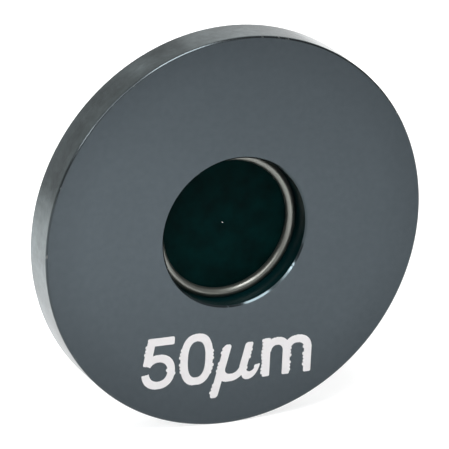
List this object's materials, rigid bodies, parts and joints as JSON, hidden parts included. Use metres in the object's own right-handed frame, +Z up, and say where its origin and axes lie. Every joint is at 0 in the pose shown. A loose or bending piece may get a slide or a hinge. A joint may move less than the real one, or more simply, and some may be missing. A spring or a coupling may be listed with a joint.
{
  "type": "mounted pinhole",
  "caption": "Mounted pinhole: a thin blackened foil with a tiny round aperture, held by a split wire ring in the front bore of an anodised disc.",
  "frame": {"origin": "on the optical axis, halfway between the front face and the rear face, at the centre of the rim", "axes": "+Y along the optical axis from the front face, where the recess and the size mark are, to the rear face; +Z up, away from the size mark; +X to the right when the front face is seen"},
  "size_m": [0.0254, 0.0024, 0.0254],
  "materials": {
    "anodised_housing": "satin dark grey anodised, fine turned",
    "blackened_foil": "matt black oxide",
    "spring_wire": "drawn, bright satin"
  },
  "bodies": {
    "root": {"housing": "anodised_housing", "pinhole_foil": "blackened_foil", "retaining_ring": "spring_wire"}
  },
  "joints": []
}
